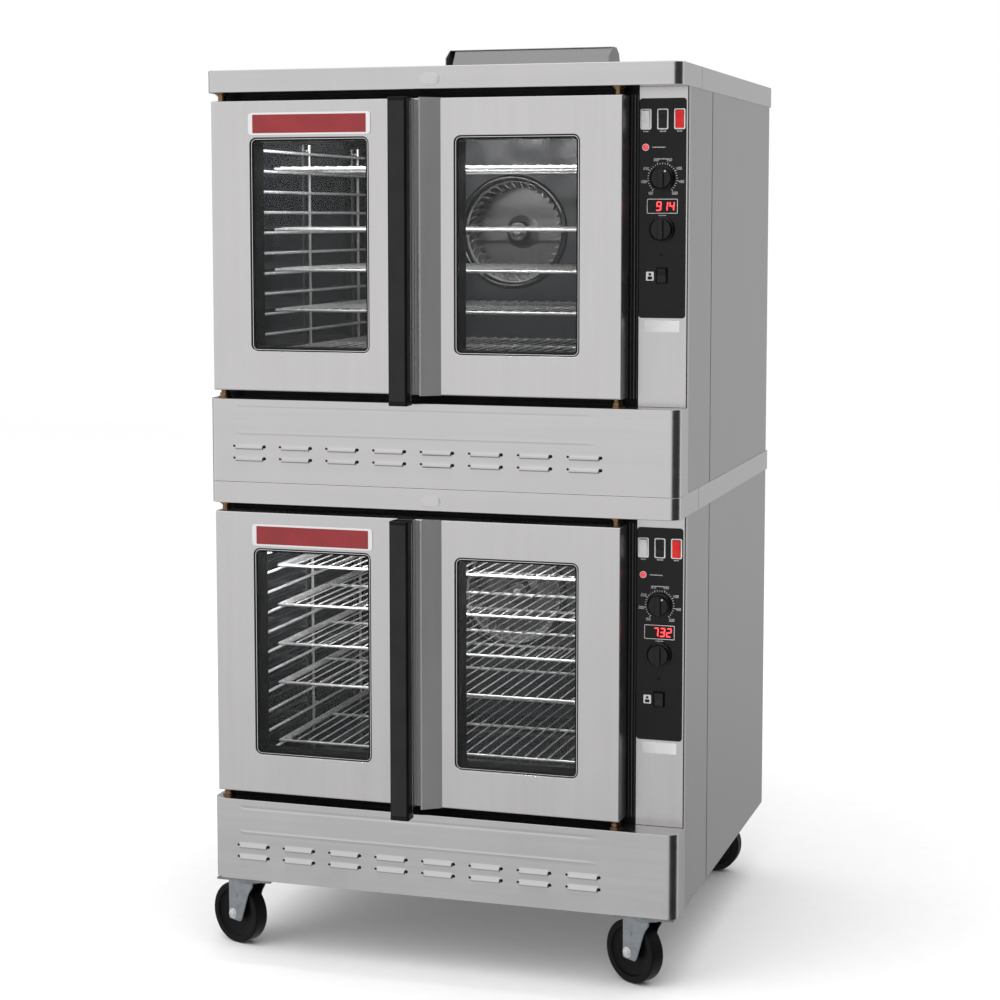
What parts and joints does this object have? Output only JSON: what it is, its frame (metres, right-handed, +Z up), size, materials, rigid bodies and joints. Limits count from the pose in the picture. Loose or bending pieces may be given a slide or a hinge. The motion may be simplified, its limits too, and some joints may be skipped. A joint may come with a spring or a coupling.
{
  "type": "double-stacked gas convection oven",
  "caption": "Double-stacked full-size gas convection oven with glazed side-hinged doors, wire racks, side control panels, a flue hood and swivel casters.",
  "frame": {"origin": "on the floor, under the centre of the bounding box", "axes": "+X to the right as the doors are faced, +Y from the doors to the back, +Z up"},
  "size_m": [1.0034, 0.987, 1.885],
  "materials": {
    "front_stainless": "satin",
    "side_stainless": "satin",
    "door_stainless": "satin",
    "frame_steel": "satin",
    "black_enamel": "gloss",
    "porcelain": "gloss",
    "blanket": "matte",
    "rack_chrome": "polished",
    "motor_paint": "satin",
    "burner_steel": "satin",
    "black_panel": "satin",
    "lamp_red": "gloss",
    "hinge_brass": "satin",
    "knob_black": "satin",
    "switch_white": "satin",
    "switch_black": "satin",
    "switch_red": "satin",
    "blower_aluminised": "satin",
    "fork_zinc": "satin",
    "wheel_black": "satin",
    "window_glass": "polished",
    "grip_black": "satin"
  },
  "bodies": {
    "casing": {"base_frame": "frame_steel", "side_panels": "side_stainless", "back_and_floor_pans": "side_stainless", "top_trims": "front_stainless", "front_frames": "black_enamel", "oven_liners": "porcelain", "insulation": "blanket", "rack_guides": "rack_chrome", "fan_baffles": "porcelain", "blower_motors": "motor_paint", "gas_burners": "burner_steel", "louvre_covers": "front_stainless", "control_fascias": "front_stainless", "control_faceplates": "black_panel", "displays_and_lamps": "lamp_red", "hinge_bushings": "hinge_brass", "flue_hood": "front_stainless", "door_sync_chains": "frame_steel"},
    "left_door_lower": {"door_left_lower": "door_stainless", "door_window_left_lower": "window_glass", "handle_lower": "grip_black"},
    "right_door_lower": {"door_right_lower": "door_stainless", "door_window_right_lower": "window_glass"},
    "rack_lower_1": {"rack_lower_1": "rack_chrome"},
    "rack_lower_2": {"rack_lower_2": "rack_chrome"},
    "rack_lower_3": {"rack_lower_3": "rack_chrome"},
    "rack_lower_4": {"rack_lower_4": "rack_chrome"},
    "rack_lower_5": {"rack_lower_5": "rack_chrome"},
    "temp_knob_lower": {"temp_knob_lower": "knob_black"},
    "timer_knob_lower": {"timer_knob_lower": "knob_black"},
    "light_switch_lower": {"light_switch_lower": "switch_white"},
    "mode_switch_lower": {"mode_switch_lower": "switch_black"},
    "power_switch_lower": {"power_switch_lower": "switch_red"},
    "fan_switch_lower": {"fan_switch_lower": "switch_black"},
    "blower_lower": {"blower_wheel_lower": "blower_aluminised"},
    "left_door_upper": {"door_left_upper": "door_stainless", "door_window_left_upper": "window_glass", "handle_upper": "grip_black"},
    "right_door_upper": {"door_right_upper": "door_stainless", "door_window_right_upper": "window_glass"},
    "rack_upper_1": {"rack_upper_1": "rack_chrome"},
    "rack_upper_2": {"rack_upper_2": "rack_chrome"},
    "rack_upper_3": {"rack_upper_3": "rack_chrome"},
    "rack_upper_4": {"rack_upper_4": "rack_chrome"},
    "rack_upper_5": {"rack_upper_5": "rack_chrome"},
    "temp_knob_upper": {"temp_knob_upper": "knob_black"},
    "timer_knob_upper": {"timer_knob_upper": "knob_black"},
    "light_switch_upper": {"light_switch_upper": "switch_white"},
    "mode_switch_upper": {"mode_switch_upper": "switch_black"},
    "power_switch_upper": {"power_switch_upper": "switch_red"},
    "fan_switch_upper": {"fan_switch_upper": "switch_black"},
    "blower_upper": {"blower_wheel_upper": "blower_aluminised"},
    "fork_fl": {"caster_fork_fl": "fork_zinc"},
    "wheel_fl": {"caster_wheel_fl": "wheel_black"},
    "fork_fr": {"caster_fork_fr": "fork_zinc"},
    "wheel_fr": {"caster_wheel_fr": "wheel_black"},
    "fork_rl": {"caster_fork_rl": "fork_zinc"},
    "wheel_rl": {"caster_wheel_rl": "wheel_black"},
    "fork_rr": {"caster_fork_rr": "fork_zinc"},
    "wheel_rr": {"caster_wheel_rr": "wheel_black"}
  },
  "joints": [
    {"name": "left_door_swing_lower", "type": "hinge", "parent": "casing", "child": "left_door_lower", "pos_m": [-0.44433, -0.4185, 0.622], "axis": [0, 0, -1], "range_deg": [0, 110]},
    {"name": "right_door_swing_lower", "type": "hinge", "parent": "casing", "child": "right_door_lower", "pos_m": [0.37367, -0.4185, 0.622], "axis": [0, 0, 1], "range_deg": [0, 110]},
    {"name": "rack_slide_lower_1", "type": "slide", "parent": "casing", "child": "rack_lower_1", "axis": [0, -1, 0], "range_m": [0, 0.08]},
    {"name": "rack_slide_lower_2", "type": "slide", "parent": "casing", "child": "rack_lower_2", "axis": [0, -1, 0], "range_m": [0, 0.08]},
    {"name": "rack_slide_lower_3", "type": "slide", "parent": "casing", "child": "rack_lower_3", "axis": [0, -1, 0], "range_m": [0, 0.08]},
    {"name": "rack_slide_lower_4", "type": "slide", "parent": "casing", "child": "rack_lower_4", "axis": [0, -1, 0], "range_m": [0, 0.08]},
    {"name": "rack_slide_lower_5", "type": "slide", "parent": "casing", "child": "rack_lower_5", "axis": [0, -1, 0], "range_m": [0, 0.08]},
    {"name": "temp_knob_turn_lower", "type": "hinge", "parent": "casing", "child": "temp_knob_lower", "pos_m": [0.45117, -0.386, 0.754], "axis": [0, 1, 0], "range_deg": [0, 270]},
    {"name": "timer_knob_turn_lower", "type": "hinge", "parent": "casing", "child": "timer_knob_lower", "pos_m": [0.45117, -0.386, 0.657], "axis": [0, 1, 0], "range_deg": [0, 330]},
    {"name": "light_switch_tilt_lower", "type": "hinge", "parent": "casing", "child": "light_switch_lower", "pos_m": [0.41837, -0.3835, 0.8655], "axis": [-1, 0, 0], "range_deg": [0, 10]},
    {"name": "mode_switch_tilt_lower", "type": "hinge", "parent": "casing", "child": "mode_switch_lower", "pos_m": [0.45117, -0.3835, 0.8655], "axis": [-1, 0, 0], "range_deg": [0, 10]},
    {"name": "power_switch_tilt_lower", "type": "hinge", "parent": "casing", "child": "power_switch_lower", "pos_m": [0.48397, -0.3835, 0.8655], "axis": [-1, 0, 0], "range_deg": [0, 10]},
    {"name": "fan_switch_tilt_lower", "type": "hinge", "parent": "casing", "child": "fan_switch_lower", "pos_m": [0.45117, -0.3835, 0.5695], "axis": [-1, 0, 0], "range_deg": [0, 10]},
    {"name": "blower_spin_lower", "type": "hinge", "parent": "casing", "child": "blower_lower", "pos_m": [-0.03533, 0.2965, 0.648], "axis": [0, 1, 0], "continuous": true},
    {"name": "left_door_swing_upper", "type": "hinge", "parent": "casing", "child": "left_door_upper", "pos_m": [-0.44433, -0.4185, 1.443], "axis": [0, 0, -1], "range_deg": [0, 110]},
    {"name": "right_door_swing_upper", "type": "hinge", "parent": "casing", "child": "right_door_upper", "pos_m": [0.37367, -0.4185, 1.443], "axis": [0, 0, 1], "range_deg": [0, 110]},
    {"name": "rack_slide_upper_1", "type": "slide", "parent": "casing", "child": "rack_upper_1", "axis": [0, -1, 0], "range_m": [0, 0.08]},
    {"name": "rack_slide_upper_2", "type": "slide", "parent": "casing", "child": "rack_upper_2", "axis": [0, -1, 0], "range_m": [0, 0.08]},
    {"name": "rack_slide_upper_3", "type": "slide", "parent": "casing", "child": "rack_upper_3", "axis": [0, -1, 0], "range_m": [0, 0.08]},
    {"name": "rack_slide_upper_4", "type": "slide", "parent": "casing", "child": "rack_upper_4", "axis": [0, -1, 0], "range_m": [0, 0.08]},
    {"name": "rack_slide_upper_5", "type": "slide", "parent": "casing", "child": "rack_upper_5", "axis": [0, -1, 0], "range_m": [0, 0.08]},
    {"name": "temp_knob_turn_upper", "type": "hinge", "parent": "casing", "child": "temp_knob_upper", "pos_m": [0.45117, -0.386, 1.575], "axis": [0, 1, 0], "range_deg": [0, 270]},
    {"name": "timer_knob_turn_upper", "type": "hinge", "parent": "casing", "child": "timer_knob_upper", "pos_m": [0.45117, -0.386, 1.478], "axis": [0, 1, 0], "range_deg": [0, 330]},
    {"name": "light_switch_tilt_upper", "type": "hinge", "parent": "casing", "child": "light_switch_upper", "pos_m": [0.41837, -0.3835, 1.6865], "axis": [-1, 0, 0], "range_deg": [0, 10]},
    {"name": "mode_switch_tilt_upper", "type": "hinge", "parent": "casing", "child": "mode_switch_upper", "pos_m": [0.45117, -0.3835, 1.6865], "axis": [-1, 0, 0], "range_deg": [0, 10]},
    {"name": "power_switch_tilt_upper", "type": "hinge", "parent": "casing", "child": "power_switch_upper", "pos_m": [0.48397, -0.3835, 1.6865], "axis": [-1, 0, 0], "range_deg": [0, 10]},
    {"name": "fan_switch_tilt_upper", "type": "hinge", "parent": "casing", "child": "fan_switch_upper", "pos_m": [0.45117, -0.3835, 1.3905], "axis": [-1, 0, 0], "range_deg": [0, 10]},
    {"name": "blower_spin_upper", "type": "hinge", "parent": "casing", "child": "blower_upper", "pos_m": [-0.03533, 0.2965, 1.469], "axis": [0, 1, 0], "continuous": true},
    {"name": "caster_swivel_fl", "type": "hinge", "parent": "casing", "child": "fork_fl", "pos_m": [-0.40433, -0.3995, 0.13], "axis": [0, 0, 1], "continuous": true},
    {"name": "caster_roll_fl", "type": "hinge", "parent": "fork_fl", "child": "wheel_fl", "pos_m": [-0.43771, -0.38601, 0.0635], "axis": [0.3746, 0.9272, 0], "continuous": true},
    {"name": "caster_swivel_fr", "type": "hinge", "parent": "casing", "child": "fork_fr", "pos_m": [0.43567, -0.3995, 0.13], "axis": [0, 0, 1], "continuous": true},
    {"name": "caster_roll_fr", "type": "hinge", "parent": "fork_fr", "child": "wheel_fr", "pos_m": [0.40449, -0.3815, 0.0635], "axis": [0.5, 0.866, 0], "continuous": true},
    {"name": "caster_swivel_rl", "type": "hinge", "parent": "casing", "child": "fork_rl", "pos_m": [-0.40433, 0.3965, 0.13], "axis": [0, 0, 1], "continuous": true},
    {"name": "caster_roll_rl", "type": "hinge", "parent": "fork_rl", "child": "wheel_rl", "pos_m": [-0.43668, 0.41228, 0.0635], "axis": [0.4384, 0.8988, 0], "continuous": true},
    {"name": "caster_swivel_rr", "type": "hinge", "parent": "casing", "child": "fork_rr", "pos_m": [0.43567, 0.3965, 0.13], "axis": [0, 0, 1], "continuous": true},
    {"name": "caster_roll_rr", "type": "hinge", "parent": "fork_rr", "child": "wheel_rr", "pos_m": [0.39976, 0.39901, 0.0635], "axis": [0.0698, 0.9976, 0], "continuous": true}
  ],
  "couplings": [
    {"joint": "right_door_swing_lower", "follows": "left_door_swing_lower", "ratio": 1},
    {"joint": "right_door_swing_upper", "follows": "left_door_swing_upper", "ratio": 1}
  ]
}
